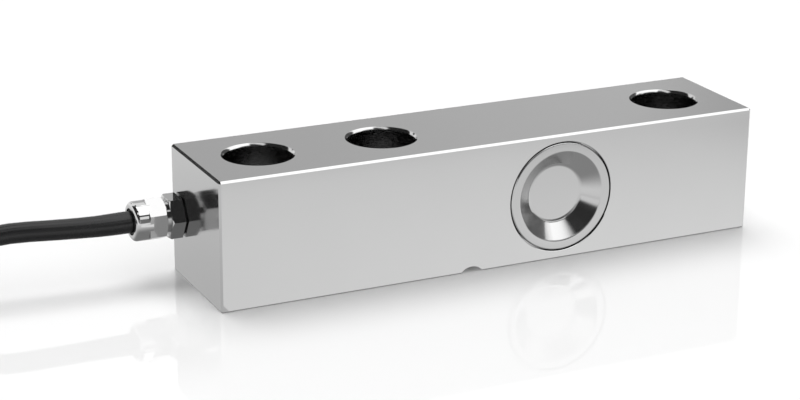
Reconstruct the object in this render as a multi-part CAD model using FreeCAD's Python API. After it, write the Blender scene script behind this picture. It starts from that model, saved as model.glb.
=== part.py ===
import FreeCAD, Part
import math
import os

# Shear beam load cell: a steel bar bolted down at its cable end and loaded through
# the hole at its far end. Strain gauges sit on a thin web between two side pockets.
# Units are millimetres. The origin is on the underside, midway between the two
# mounting holes; +X runs to the load end, +Y to the rear side, +Z is up.

# Sweep setting for paths with sharp corners
MITRED = 1

# Beam
CABLE_END_MARGIN = 19.05
MOUNT_SPACING = 38.1
LOAD_SPAN = 95.25
LOAD_END_MARGIN = 19.1
BEAM_WIDTH = 38.1
BEAM_HEIGHT = 38.1
EDGE_CHAMFER = 0.6
UNDERSIDE_CHAMFER = 0.3
BOLT_HOLE_DIA = 20.0
HOLE_CHAMFER = 0.5
HOLE_CHAMFER_DEPTH = 0.87
RELIEF_OFFSET = 20.3
RELIEF_RADIUS = 4.7
RELIEF_DEPTH = 1.8

# Gauge pockets and their dished covers
POCKET_OFFSET = 49.3
POCKET_DIA = 28.6
WEB_THICKNESS = 7.0
COVER_LEDGE = 2.2
COVER_SEAM = 0.2
COVER_FLOOR = 0.6
COVER_BOSS_WALL = 1.25
DISH_DIA = 27.4
DISH_FLOOR_DIA = 17.3
DISH_DEPTH = 4.0

# Strain gauges, terminal strips and gauge leads on the web
POCKET_CLEARANCE = 0.2
GAUGE_WIDTH = 9.2
GAUGE_HEIGHT = 8.0
GAUGE_FILM = 0.1
GAUGE_FOIL = 0.04
GRID_LENGTH = 3.2
GRID_WIDTH = 2.4
TAB_SIZE = 0.9
STRIP_WIDTH = 3.2
STRIP_HEIGHT = 9.0
STRIP_THICKNESS = 0.8
STRIP_GAP = 1.5
LEAD_COUNT = 4
LEAD_PITCH = 2.2
LEAD_DIA = 0.25
LEAD_RISE = 1.2

# Link wires through the web, board wires over the rear gauge
LINK_HOLE_DIA = 2.6
LINK_HOLE_INSET = 0.8
LINK_WIRE_DIA = 0.7
LINK_WIRE_PITCH = 0.9
LINK_RISE = 0.6
BOARD_WIRE_DIA = 0.6
BOARD_WIRE_FIRST = 2.0
BOARD_WIRE_PITCH = 1.6
BOARD_WIRE_RISE = 4.2
SOLDER_INSET = 0.8

# Compensation board and its trim resistors in the rear pocket
BOARD_WIDTH = 5.0
BOARD_HEIGHT = 11.0
BOARD_THICKNESS = 0.8
RESISTOR_LENGTH = 2.2
RESISTOR_WIDTH = 1.0
RESISTOR_HEIGHT = 0.6
RESISTOR_FIRST = 2.7
RESISTOR_PITCH = 1.4

# Wiring bore, cable cores and cable gland
WIRE_BORE_DIA = 4.0
WIRE_BORE_SHARE = 0.69
GLAND_DROP = 0.45
CORE_DIA = 1.1
CORE_PITCH = 1.24
CORE_ROW_STEP = 1.5
CORE_SOLDER_INSET = 0.7
GLAND_THREAD_DIA = 10.0
GLAND_THREAD_LENGTH = 7.0
THREAD_CLEARANCE = 0.05
THREAD_RUNOUT = 0.5
GASKET_THICKNESS = 0.4
GASKET_INSET = 0.3
GLAND_HEX_AF = 11.5
GLAND_HEX_LENGTH = 4.0
HEX_FACE_STEP = 0.05
SPIGOT_DIA = 9.0
SPIGOT_LENGTH = 6.0
NUT_GAP = 1.0
NUT_AF = 11.3
NUT_TURN = 36
NUT_HEX_LENGTH = 5.3
NUT_COLLAR_LENGTH = 5.0
NUT_COLLAR_RISE = 0.1
NUT_COLLAR_BEVEL = 1.5
SEAL_WALL = 0.9
SEAL_LENGTH = 5.0
SEAL_PROUD = 0.2
JACKET_CLEARANCE = 0.2
JACKET_INSET = 4.0

# Cable, its tied hank and its stripped end
CABLE_DIA = 5.8
ROUTE_SHARE = 0.45
HANK_NEAR_END = -149.0
HANK_CENTRE_Y = -6.5
HANK_RUN = 87.0
HANK_FOLD_RADIUS = 17.4
HANK_COLUMNS = 2
HANK_LAYERS = 5
TIE_THICKNESS = 1.0
TIE_WIDTH = 4.8
TIE_CORNER = 0.8
TIE_HEAD_LENGTH = 7.0
TIE_HEAD_HEIGHT = 3.5
END_LEAD_PITCH = 1.8
END_LEAD_LENGTH = 27.0
END_LEAD_FAN = 3.0
TIP_LENGTH = 5.0
TIP_DIA = 0.7

# Places worked out from the sizes above
cable_end_x = -MOUNT_SPACING / 2 - CABLE_END_MARGIN
load_x = MOUNT_SPACING / 2 + LOAD_SPAN
load_end_x = load_x + LOAD_END_MARGIN
bolt_hole_xs = (-MOUNT_SPACING / 2, MOUNT_SPACING / 2, load_x)
relief_x = MOUNT_SPACING / 2 + RELIEF_OFFSET
pocket_x = MOUNT_SPACING / 2 + POCKET_OFFSET
pocket_z = BEAM_HEIGHT / 2
pocket_radius = POCKET_DIA / 2
cover_radius = pocket_radius + COVER_LEDGE
dish_radius = DISH_DIA / 2
dish_floor_radius = DISH_FLOOR_DIA / 2
dish_slope = DISH_DEPTH / (dish_radius - dish_floor_radius)
boss_radius = dish_floor_radius + COVER_BOSS_WALL
cover_rim = (dish_radius - boss_radius) * dish_slope + COVER_FLOOR
side_y = BEAM_WIDTH / 2
web_y = WEB_THICKNESS / 2
gland_z = pocket_z - GLAND_DROP
wire_w = gland_z - pocket_z
# The wiring bore keeps its share of the free width between the bolt holes and the cover
wire_room = side_y - cover_rim - BOLT_HOLE_DIA / 2 - WIRE_BORE_DIA
wire_y = (BOLT_HOLE_DIA + WIRE_BORE_DIA) / 2 + WIRE_BORE_SHARE * wire_room
gauge_top = GAUGE_FILM + GAUGE_FOIL
gauge_tab_u = (GAUGE_WIDTH - TAB_SIZE) / 2
link_u = pocket_radius - LINK_HOLE_INSET - LINK_HOLE_DIA / 2
strip_far_u = link_u - LINK_HOLE_DIA / 2 - STRIP_GAP
strip_near_u = strip_far_u - STRIP_WIDTH
board_far_u = -math.sqrt((pocket_radius - POCKET_CLEARANCE) ** 2 - (BOARD_HEIGHT / 2) ** 2)
board_near_u = board_far_u + BOARD_WIDTH
lead_rows = [(k - (LEAD_COUNT - 1) / 2) * LEAD_PITCH for k in range(LEAD_COUNT)]
cable_radius = CABLE_DIA / 2
jacket_radius = cable_radius + JACKET_CLEARANCE
seal_radius = cable_radius + SEAL_WALL
hex_start = GASKET_THICKNESS
spigot_start = hex_start + GLAND_HEX_LENGTH
spigot_end = spigot_start + SPIGOT_LENGTH
nut_start = spigot_start + NUT_GAP
seal_end = spigot_end + SEAL_PROUD
seal_start = seal_end - SEAL_LENGTH
nut_hex_end = nut_start + NUT_HEX_LENGTH
nut_end = nut_hex_end + NUT_COLLAR_LENGTH
hank_outer_radius = HANK_FOLD_RADIUS + (HANK_COLUMNS - 0.5) * CABLE_DIA
hank_inner_radius = HANK_FOLD_RADIUS - cable_radius
hank_near_x = HANK_NEAR_END - hank_outer_radius
hank_far_x = hank_near_x - HANK_RUN
hank_height = HANK_LAYERS * CABLE_DIA
leg_width = HANK_COLUMNS * CABLE_DIA
leg_offset = HANK_FOLD_RADIUS + (HANK_COLUMNS - 1) / 2 * CABLE_DIA
hank_floor_z = TIE_THICKNESS + cable_radius

# The cable's route from inside the gland to the hank, chosen by hand
LEAD_ROUTE = [
    (cable_end_x + JACKET_INSET, wire_y, gland_z),
    (-66.0, wire_y, gland_z),
    (-98.0, 16.4, gland_z + 1.6),
    (-138.0, 17.2, 5.6),
    (hank_near_x, 16.2, hank_floor_z),
]

# The cable's last stretch, out of the hank's front leg into its opening
TAIL_ROUTE = [
    (hank_far_x + 4.4, HANK_CENTRE_Y - 17.4, hank_floor_z),
    (hank_far_x + 48.8, HANK_CENTRE_Y - 5.5, hank_floor_z),
]


def vec(x, y, z):
    """A point or direction."""
    return FreeCAD.Vector(x, y, z)


def rod(radius, start, end):
    """A round bar between two points."""
    axis = end - start
    return Part.makeCylinder(radius, axis.Length, start, axis)


def corner_arc(before, corner, after, radius):
    """The tangent arc of a given radius that rounds one corner of a path."""
    back = (before - corner).normalize()
    ahead = (after - corner).normalize()
    half_turn = (math.pi - back.getAngle(ahead)) / 2
    reach = radius * math.tan(half_turn)
    bisector = (back + ahead).normalize()
    middle = corner + bisector * (radius / math.cos(half_turn) - radius)
    return Part.Arc(corner + back * reach, middle, corner + ahead * reach)


def hexagon_ring(corner_radius, corner_angle):
    """The closed ring of a hexagon's corners, about the X axis."""
    angles = [math.radians(corner_angle + 60 * k) for k in range(7)]
    return [vec(0, math.cos(a), math.sin(a)) * corner_radius for a in angles]


def bent_wire(points, dia):
    """A thin six-sided wire along straight runs, with mitred corners."""
    turn = FreeCAD.Rotation(vec(1, 0, 0), points[1] - points[0])
    section = [points[0] + turn.multVec(corner) for corner in hexagon_ring(dia / 2, 0)]
    return Part.makePolygon(points).makePipeShell([Part.makePolygon(section)], True, False, MITRED)


def route_radii(points):
    """The largest arc that each corner of a cord's route has room for."""
    radii = []
    for before, corner, after in zip(points, points[1:], points[2:]):
        back = before - corner
        ahead = after - corner
        turn = math.pi - back.getAngle(ahead)
        radii.append(ROUTE_SHARE * min(back.Length, ahead.Length) / math.tan(turn / 2))
    return radii


def rounded_path(points, radii):
    """A path through the points, straight but for a tangent arc at each corner."""
    edges = []
    start = points[0]
    for k, radius in enumerate(radii):
        arc = corner_arc(points[k], points[k + 1], points[k + 2], radius)
        edges += [Part.LineSegment(start, arc.StartPoint).toShape(), arc.toShape()]
        start = arc.EndPoint
    edges.append(Part.LineSegment(start, points[-1]).toShape())
    return Part.Wire(edges)


def cord_tube(name, route):
    """A cord's tube along its route, with its radii and volume printed."""
    points = [vec(*point) for point in route]
    radii = route_radii(points)
    path = rounded_path(points, radii)
    ring = Part.Wire(Part.Circle(points[0], points[1] - points[0], cable_radius).toShape())
    tube = path.makePipeShell([ring], True, False)
    solid_length = tube.Volume / (math.pi * cable_radius ** 2)
    print(name, "radii", [round(radius, 1) for radius in radii])
    print(name, "length %.2f, volume over section %.2f" % (path.Length, solid_length))
    return tube


def turned(profile, start, axis):
    """A solid turned from a closed profile of (along, radius) points about an axis."""
    points = [vec(along, radius, 0) for along, radius in profile]
    face = Part.Face(Part.makePolygon(points + points[:1]))
    solid = face.revolve(vec(0, 0, 0), vec(1, 0, 0), 360)
    solid.Placement = FreeCAD.Placement(start, FreeCAD.Rotation(vec(1, 0, 0), axis))
    return solid


def hexagon(across_flats, corner_angle, start, end):
    """A hexagon bar on the gland's axis, with the corners of its outer end trimmed to a cone."""
    length = end - start
    corner = across_flats / math.sqrt(3)
    ring = hexagon_ring(corner, corner_angle)
    bar = Part.Face(Part.makePolygon(ring)).extrude(vec(length, 0, 0))
    face_radius = across_flats / 2 - HEX_FACE_STEP
    cone = Part.makeCone(face_radius, face_radius + 2 * length, length, vec(0, 0, 0), vec(1, 0, 0))
    bar = bar.common(cone)
    bar.translate(gland_point(end))
    return bar


def gland_point(out):
    """The point on the gland's axis at a distance out from the end face."""
    return vec(cable_end_x - out, wire_y, gland_z)


def gland_rod(radius, start, end):
    """A round bar on the gland's axis between two distances out from the end face."""
    return rod(radius, gland_point(start), gland_point(end))


def pocket_point(side, u, w, height):
    """A point in a pocket: u along the beam and w up from its centre, height above the web."""
    return vec(pocket_x + u, side * (web_y + height), pocket_z + w)


def span(middle, size):
    """The two limits of a size about its middle."""
    return middle - size / 2, middle + size / 2


def pocket_block(side, us, ws, heights):
    """A block in a pocket between two limits each way."""
    low = pocket_point(side, us[0], ws[0], heights[0])
    high = pocket_point(side, us[1], ws[1], heights[1])
    size = high - low
    if side < 0:
        low.y = high.y
    return Part.makeBox(size.x, abs(size.y), size.z, low)


def chamfered_bar():
    """The bar with its top and upright edges broken, and its underside edges finely."""
    length = load_end_x - cable_end_x
    bar = Part.makeBox(length, BEAM_WIDTH, BEAM_HEIGHT, vec(cable_end_x, -side_y, 0))
    upper = [edge for edge in bar.Edges if edge.BoundBox.ZMax > BEAM_HEIGHT / 2]
    bar = bar.makeChamfer(EDGE_CHAMFER, upper)
    lower = [edge for edge in bar.Edges if edge.BoundBox.ZMax < EDGE_CHAMFER / 2]
    return bar.makeChamfer(UNDERSIDE_CHAMFER, lower)


def bolt_hole(x):
    """A through hole with a chamfered mouth in the top face."""
    radius = BOLT_HOLE_DIA / 2
    hole = Part.makeCylinder(radius, BEAM_HEIGHT, vec(x, 0, 0))
    mouth = vec(x, 0, BEAM_HEIGHT - HOLE_CHAMFER_DEPTH)
    return [hole, Part.makeCone(radius, radius + HOLE_CHAMFER, HOLE_CHAMFER_DEPTH, mouth)]


def pocket(side):
    """The gauge pocket in one side and the seat round its mouth for the cover."""
    web = vec(pocket_x, side * web_y, pocket_z)
    mouth = vec(pocket_x, side * side_y, pocket_z)
    seat = vec(pocket_x, side * (side_y - cover_rim), pocket_z)
    return [rod(pocket_radius, web, mouth), rod(cover_radius + COVER_SEAM, seat, mouth)]


def beam_body():
    """The machined bar with every hole, pocket, bore and groove."""
    cuts = []
    for x in bolt_hole_xs:
        cuts += bolt_hole(x)
    for side in (-1, 1):
        cuts += pocket(side)
    relief_z = RELIEF_DEPTH - RELIEF_RADIUS
    cuts.append(rod(RELIEF_RADIUS, vec(relief_x, -side_y, relief_z), vec(relief_x, side_y, relief_z)))
    cuts.append(rod(WIRE_BORE_DIA / 2, gland_point(0), vec(pocket_x, wire_y, gland_z)))
    thread_radius = GLAND_THREAD_DIA / 2 + THREAD_CLEARANCE
    cuts.append(gland_rod(thread_radius, -GLAND_THREAD_LENGTH - THREAD_RUNOUT, 0))
    cuts.append(rod(LINK_HOLE_DIA / 2, pocket_point(-1, link_u, 0, 0), pocket_point(1, link_u, 0, 0)))
    return chamfered_bar().cut(cuts)


def cover(side):
    """A turned pocket cover: a disc flush with the side, a conical dish, and a boss behind it."""
    profile = [
        (DISH_DEPTH, 0),
        (DISH_DEPTH, dish_floor_radius),
        (0, dish_radius),
        (0, cover_radius),
        (cover_rim, cover_radius),
        (cover_rim, boss_radius),
        (DISH_DEPTH + COVER_FLOOR, boss_radius),
        (DISH_DEPTH + COVER_FLOOR, 0),
    ]
    return turned(profile, vec(pocket_x, side * side_y, pocket_z), vec(0, -side, 0))


def strain_gauge(side):
    """A foil gauge on the web: film, two crossed grids and four solder tabs, in one."""
    film = pocket_block(side, span(0, GAUGE_WIDTH), span(0, GAUGE_HEIGHT), (0, GAUGE_FILM))
    foil = []
    for row in (-1, 1):
        grid = pocket_block(side, span(0, GRID_LENGTH), span(0, GRID_WIDTH), (GAUGE_FILM, gauge_top))
        grid.rotate(pocket_point(side, 0, 0, 0), vec(0, 1, 0), 45 * row)
        grid.translate(vec(0, 0, row * GAUGE_HEIGHT / 4))
        foil.append(grid)
    tab_us = span(gauge_tab_u, TAB_SIZE)
    for w in lead_rows:
        foil.append(pocket_block(side, tab_us, span(w, TAB_SIZE), (GAUGE_FILM, gauge_top)))
    return film.fuse(foil).removeSplitter()


def terminal_strip(side):
    """The solder terminal strip between the gauge and the link hole."""
    strip_us = (strip_near_u, strip_far_u)
    return pocket_block(side, strip_us, span(0, STRIP_HEIGHT), (0, STRIP_THICKNESS))


def gauge_leads(side):
    """Fine wires that loop from the gauge's tabs over to the terminal strip."""
    pad_u = strip_near_u + TAB_SIZE / 2
    top = STRIP_THICKNESS + LEAD_RISE
    leads = []
    for w in lead_rows:
        points = [
            pocket_point(side, gauge_tab_u, w, gauge_top),
            pocket_point(side, gauge_tab_u, w, top),
            pocket_point(side, pad_u, w, top),
            pocket_point(side, pad_u, w, STRIP_THICKNESS),
        ]
        leads.append(bent_wire(points, LEAD_DIA))
    return Part.makeCompound(leads)


def link_wire(row, column):
    """A wire from the front terminal strip through the web to the rear one."""
    w = row * LINK_WIRE_PITCH / 2
    hole_u = link_u + column * LINK_WIRE_PITCH / 2
    pad_u = strip_far_u + link_u - LINK_HOLE_DIA / 2 - hole_u
    top = STRIP_THICKNESS + LINK_RISE + (hole_u - pad_u) / 2
    points = [
        pocket_point(-1, pad_u, w, STRIP_THICKNESS),
        pocket_point(-1, pad_u, w, top),
        pocket_point(-1, hole_u, w, top),
        pocket_point(1, hole_u, w, top),
        pocket_point(1, pad_u, w, top),
        pocket_point(1, pad_u, w, STRIP_THICKNESS),
    ]
    return bent_wire(points, LINK_WIRE_DIA)


def compensation_board():
    """The small circuit board bonded in the rear pocket, near the wiring bore."""
    board_us = (board_far_u, board_near_u)
    return pocket_block(1, board_us, span(0, BOARD_HEIGHT), (0, BOARD_THICKNESS))


def trim_resistor(row, column):
    """A chip resistor on the board, above or below the cable cores."""
    middle_u = (board_far_u + board_near_u) / 2
    middle_w = wire_w + row * (RESISTOR_FIRST + column * RESISTOR_PITCH)
    us = span(middle_u, RESISTOR_LENGTH)
    ws = span(middle_w, RESISTOR_WIDTH)
    return pocket_block(1, us, ws, (BOARD_THICKNESS, BOARD_THICKNESS + RESISTOR_HEIGHT))


def board_wire(row, column):
    """A wire from the rear terminal strip over the gauge to the board."""
    w = row * (BOARD_WIRE_FIRST + column * BOARD_WIRE_PITCH)
    strip_u = (strip_near_u + strip_far_u) / 2
    board_u = board_near_u - SOLDER_INSET
    points = [
        pocket_point(1, strip_u, w, STRIP_THICKNESS),
        pocket_point(1, strip_u, w, BOARD_WIRE_RISE),
        pocket_point(1, board_u, w, BOARD_WIRE_RISE),
        pocket_point(1, board_u, w, BOARD_THICKNESS),
    ]
    return bent_wire(points, BOARD_WIRE_DIA)


def cable_core(row, column):
    """A cable core from the jacket's end along the wiring bore, then down to the board."""
    y = wire_y + column * CORE_PITCH / 2
    z = gland_z + row * CORE_PITCH / 2
    drop_x = pocket_x + board_far_u + CORE_SOLDER_INSET + (1 + column) / 2 * CORE_ROW_STEP
    points = [
        vec(cable_end_x + JACKET_INSET, y, z),
        vec(drop_x, y, z),
        vec(drop_x, web_y + BOARD_THICKNESS, z),
    ]
    return bent_wire(points, CORE_DIA)


def gland_gasket():
    """The flat sealing ring between the gland's hexagon and the beam."""
    ring = gland_rod(GLAND_HEX_AF / 2 - GASKET_INSET, 0, hex_start)
    return ring.cut(gland_rod(GLAND_THREAD_DIA / 2, 0, hex_start))


def gland_body():
    """The gland's body: threaded stub, hexagon with corners to the sides, and spigot."""
    body = hexagon(GLAND_HEX_AF, 0, hex_start, spigot_start)
    body = body.fuse([
        gland_rod(GLAND_THREAD_DIA / 2, -GLAND_THREAD_LENGTH, hex_start),
        gland_rod(SPIGOT_DIA / 2, spigot_start, spigot_end),
    ])
    return body.cut([
        gland_rod(jacket_radius, -GLAND_THREAD_LENGTH, seal_start),
        gland_rod(seal_radius, seal_start, spigot_end),
    ])


def gland_seal():
    """The rubber bush that the nut presses round the cable."""
    bush = gland_rod(seal_radius, seal_start, seal_end)
    return bush.cut(gland_rod(cable_radius, seal_start, seal_end))


def gland_nut():
    """The compression nut: hexagon turned to where it tightened, and a collar with a bevelled end."""
    collar_radius = NUT_AF / 2 + NUT_COLLAR_RISE
    collar = [
        (0, 0),
        (0, collar_radius),
        (NUT_COLLAR_LENGTH - NUT_COLLAR_BEVEL, collar_radius),
        (NUT_COLLAR_LENGTH, collar_radius - NUT_COLLAR_BEVEL),
        (NUT_COLLAR_LENGTH, 0),
    ]
    nut = hexagon(NUT_AF, NUT_TURN, nut_start, nut_hex_end)
    nut = nut.fuse(turned(collar, gland_point(nut_hex_end), vec(-1, 0, 0)))
    return nut.cut([
        gland_rod(SPIGOT_DIA / 2 + THREAD_CLEARANCE, nut_start, seal_end),
        gland_rod(jacket_radius, seal_end, nut_end),
    ])


def stadium(radius, low, high):
    """An upright block with round ends, about the hank's two fold centres."""
    near = vec(hank_near_x, HANK_CENTRE_Y, low)
    far = vec(hank_far_x, HANK_CENTRE_Y, low)
    side = vec(0, radius, 0)
    edges = [
        Part.LineSegment(near + side, far + side).toShape(),
        Part.Arc(far + side, far - vec(radius, 0, 0), far - side).toShape(),
        Part.LineSegment(far - side, near - side).toShape(),
        Part.Arc(near - side, near + vec(radius, 0, 0), near + side).toShape(),
    ]
    return Part.Face(Part.Wire(edges)).extrude(vec(0, 0, high - low))


def cable_hank():
    """The outer shape of the tied hank: a ring with long straight legs."""
    low = TIE_THICKNESS
    high = low + hank_height
    return stadium(hank_outer_radius, low, high).cut(stadium(hank_inner_radius, low, high))


def tie_block(leg, grow):
    """A block as wide as a tie round one leg of the hank, grown by a distance."""
    x = (hank_near_x + hank_far_x - TIE_WIDTH) / 2
    y = HANK_CENTRE_Y + leg * leg_offset - leg_width / 2 - grow
    corner = vec(x, y, TIE_THICKNESS - grow)
    return Part.makeBox(TIE_WIDTH, leg_width + 2 * grow, hank_height + 2 * grow, corner)


def hank_tie(leg):
    """A plastic tie round one leg of the hank, with its head on top."""
    strap = tie_block(leg, TIE_THICKNESS)
    corners = [edge for edge in strap.Edges if edge.BoundBox.XLength > TIE_WIDTH / 2
               and edge.BoundBox.YLength < TIE_CORNER and edge.BoundBox.ZLength < TIE_CORNER]
    strap = strap.makeChamfer(TIE_CORNER, corners).cut(tie_block(leg, 0))
    middle_y = HANK_CENTRE_Y + leg * leg_offset
    top = vec(strap.BoundBox.XMin, middle_y - TIE_HEAD_LENGTH / 2, strap.BoundBox.ZMax)
    head = Part.makeBox(TIE_WIDTH, TIE_HEAD_LENGTH, TIE_HEAD_HEIGHT, top)
    return strap.fuse(head).removeSplitter()


def tail_placement():
    """The frame at the jacket's far end, with +X along the cable's last run."""
    end = vec(*TAIL_ROUTE[-1])
    return FreeCAD.Placement(end, FreeCAD.Rotation(vec(1, 0, 0), end - vec(*TAIL_ROUTE[-2])))


def end_lead_points(start_y, start_z, fan):
    """The path of one stripped lead, straight out of the jacket and then down to the floor."""
    end = tail_placement()
    drop = CORE_DIA / 2 - end.Base.z
    reach = END_LEAD_LENGTH / 3
    local = [
        vec(0, start_y, start_z),
        vec(reach, start_y, start_z),
        vec(2 * reach, start_y + fan / 2, drop),
        vec(3 * reach, start_y + fan, drop),
    ]
    return [end.multVec(point) for point in local]


def lead_tip(points):
    """The tinned tip of one stripped lead."""
    along = (points[-1] - points[-2]).normalize()
    return bent_wire([points[-1], points[-1] + along * TIP_LENGTH], TIP_DIA)


def pocket_nodes():
    """Everything in and over the two gauge pockets."""
    nodes = {}
    for name, side in (("front", -1), ("rear", 1)):
        nodes[name + "_cover"] = cover(side)
        nodes[name + "_strain_gauge"] = strain_gauge(side)
        nodes[name + "_terminal_strip"] = terminal_strip(side)
        nodes[name + "_gauge_leads"] = gauge_leads(side)
    nodes["compensation_board"] = compensation_board()
    resistors = ("zero_balance", "zero_drift", "span_set", "span_drift")
    for k, (row, column) in enumerate(((1, 0), (1, 1), (-1, 0), (-1, 1))):
        nodes[resistors[k] + "_resistor"] = trim_resistor(row, column)
        nodes["board_wire_%d" % (k + 1)] = board_wire(row, column)
    for k, (row, column) in enumerate(((1, -1), (1, 1), (-1, -1), (-1, 1))):
        nodes["link_wire_%d" % (k + 1)] = link_wire(row, column)
    return nodes


def gland_nodes():
    """The cable gland and the cores behind it."""
    nodes = {
        "gland_gasket": gland_gasket(),
        "gland_body": gland_body(),
        "gland_seal": gland_seal(),
        "gland_nut": gland_nut(),
    }
    places = ((1, 1), (1, -1), (-1, 1), (-1, -1))
    for colour, (row, column) in zip(("red", "black", "green", "white"), places):
        nodes["core_" + colour] = cable_core(row, column)
    return nodes


def cable_nodes():
    """The free cable, its hank and ties, and its stripped end."""
    hank = cable_hank()
    nodes = {
        "cable_lead": cord_tube("cable_lead", LEAD_ROUTE).cut(hank),
        "cable_hank": hank,
        "cable_tail": cord_tube("cable_tail", TAIL_ROUTE).cut(hank),
        "hank_tie_front": hank_tie(-1),
        "hank_tie_rear": hank_tie(1),
    }
    half = END_LEAD_PITCH / 2
    starts = {
        "red": (half, -half, 2), "black": (half, half, 1), "shield": (0, 0, 0),
        "green": (-half, half, -1), "white": (-half, -half, -2),
    }
    tips = []
    for colour, (y, z, fan) in starts.items():
        points = end_lead_points(y, z, fan * END_LEAD_FAN)
        nodes["end_lead_" + colour] = bent_wire(points, CORE_DIA)
        tips.append(lead_tip(points))
    nodes["end_lead_tips"] = Part.makeCompound(tips)
    return nodes


def main():
    """Builds every piece and writes one file for each."""
    os.makedirs("parts", exist_ok=True)
    nodes = {"beam_body": beam_body()}
    nodes.update(pocket_nodes())
    nodes.update(gland_nodes())
    nodes.update(cable_nodes())
    for name, shape in nodes.items():
        print(name, len(shape.Solids), "solids, volume %.3f" % shape.Volume, shape.isValid())
        shape.exportStep("parts/%s.step" % name)


main()
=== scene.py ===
import logging
import math
from abc import ABC, abstractmethod
from dataclasses import dataclass
from enum import Enum
from typing import Any, Callable, ClassVar, Iterable, Sequence

import bmesh
import bpy
from mathutils import Matrix, Vector


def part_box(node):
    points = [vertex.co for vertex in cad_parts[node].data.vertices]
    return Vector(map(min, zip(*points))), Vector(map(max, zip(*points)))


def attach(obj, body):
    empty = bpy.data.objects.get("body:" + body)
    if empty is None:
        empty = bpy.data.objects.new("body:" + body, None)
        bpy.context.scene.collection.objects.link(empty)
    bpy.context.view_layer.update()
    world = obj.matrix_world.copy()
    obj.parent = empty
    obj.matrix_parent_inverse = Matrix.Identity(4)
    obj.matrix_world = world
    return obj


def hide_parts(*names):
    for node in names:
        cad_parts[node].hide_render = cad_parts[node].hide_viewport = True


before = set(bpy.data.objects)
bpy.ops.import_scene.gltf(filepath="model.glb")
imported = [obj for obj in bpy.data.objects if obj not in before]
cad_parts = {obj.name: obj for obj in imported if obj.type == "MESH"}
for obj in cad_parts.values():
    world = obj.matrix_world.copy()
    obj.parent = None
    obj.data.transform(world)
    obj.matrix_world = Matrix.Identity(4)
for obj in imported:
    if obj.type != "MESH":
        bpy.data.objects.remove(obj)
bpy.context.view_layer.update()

# Shear beam load cell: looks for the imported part. Lengths in the classes are
# millimetres in the part's own frame, and MM turns them to Blender's metres.

MM = 0.001
BODY = "root"
LOG = logging.getLogger("load_cell")

X_AXIS = Vector((1, 0, 0))
Y_AXIS = Vector((0, 1, 0))
Z_AXIS = Vector((0, 0, 1))

# Where the pockets' axis crosses the bar, and where the gland's axis runs along it
POCKET_X, POCKET_Z = 68.35, 19.05
GLAND_Y, GLAND_Z = 12.994, 18.6
# How near counts as touching, in millimetres
TOUCH = 0.01

Test = Callable[[Vector, Vector], bool]
Point = tuple[float, float, float]
Object, Material = bpy.types.Object, bpy.types.Material
Tree, Node, Socket = bpy.types.NodeTree, bpy.types.Node, bpy.types.NodeSocket


class Pick(Enum):
    """The kind of mesh element that an edit selects."""

    EDGE = "EDGE"
    FACE = "FACE"


class Joining(Enum):
    """What happens where one workpiece meets another."""

    CUT = "DIFFERENCE"
    TRIM = "INTERSECT"
    WELD = "UNION"


class ToolLines(Enum):
    """The way that a tool's fine lines run on a metal surface."""

    ALONG_BAR = "along the bar"
    ROUND_POCKET = "round the pocket's axis"
    ROUND_GLAND = "round the gland's axis"


def place(point: Iterable[float]) -> Vector:
    """Turns a point in millimetres to Blender's metres."""
    return Vector(point) * MM


def linear(colour: str) -> tuple[float, float, float, float]:
    """Turns an sRGB hex colour to linear light.

    Args:
        colour: the colour as "#rrggbb".

    Returns:
        Linear red, green and blue, and full alpha.
    """
    parts = [int(colour[k : k + 2], 16) / 255 for k in (1, 3, 5)]
    red, green, blue = (p / 12.92 if p <= 0.04045 else ((p + 0.055) / 1.055) ** 2.4 for p in parts)
    return red, green, blue, 1.0


def add_node(tree: Tree, kind: str, inputs: dict[str | int, Any] | None = None, **settings: Any) -> Node:
    """Adds a shader node with its settings, and fills or links its inputs.

    Args:
        tree: the node tree of a material or of the world.
        kind: the node's Blender type, without the word ShaderNode.
        inputs: for each input that is set, a value, a socket to link from, or a node whose
            first output is linked.
        settings: the node's own options by name.

    Returns:
        The new node.
    """
    node = tree.nodes.new("ShaderNode" + kind)
    for name, value in settings.items():
        setattr(node, name, value)
    for name, value in (inputs or {}).items():
        if isinstance(value, Node):
            value = value.outputs[0]
        if isinstance(value, Socket):
            tree.links.new(value, node.inputs[name])
        else:
            node.inputs[name].default_value = value
    return node


def new_material(title: str) -> tuple[Material, Tree]:
    """Makes an empty material.

    Args:
        title: its name.

    Returns:
        The material and its node tree.
    """
    material = bpy.data.materials.new(title)
    material.use_nodes = True
    material.node_tree.nodes.clear()
    return material, material.node_tree


def turn_to(axis: Vector, roll: float = 0.0) -> tuple[float, float, float]:
    """Euler angles that lay a primitive's own Z along an axis, rolled about it."""
    turned = axis.to_track_quat("Z", "Y").to_matrix().to_4x4()
    return tuple((turned @ Matrix.Rotation(roll, 4, "Z")).to_euler())


def select_only(obj: Object) -> None:
    """Makes an object the one that is selected and active.

    Args:
        obj: the object.
    """
    bpy.ops.object.select_all(action="DESELECT")
    obj.select_set(True)
    bpy.context.view_layer.objects.active = obj


def smooth_line(
    name: str, points: Sequence[Iterable[float]], diameter: float, roundness: int, steps: int
) -> Object:
    """Draws a round cord along one smooth line.

    Args:
        name: the curve's name.
        points: the line's control points, in millimetres.
        diameter: the cord's diameter, in millimetres.
        roundness: Blender's bevel resolution of the cord's section.
        steps: the number of steps from one control point to the next.

    Returns:
        The curve's object.
    """
    curve = bpy.data.curves.new(name, "CURVE")
    curve.dimensions = "3D"
    curve.bevel_depth = diameter / 2 * MM
    curve.bevel_resolution = roundness
    curve.resolution_u = steps
    curve.use_fill_caps = True
    spline = curve.splines.new("NURBS")
    spline.points.add(len(points) - 1)
    for control, point in zip(spline.points, points):
        control.co = (*place(point), 1.0)
    spline.order_u = 3
    spline.use_endpoint_u = True
    line = bpy.data.objects.new(name, curve)
    bpy.context.scene.collection.objects.link(line)
    return line


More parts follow.
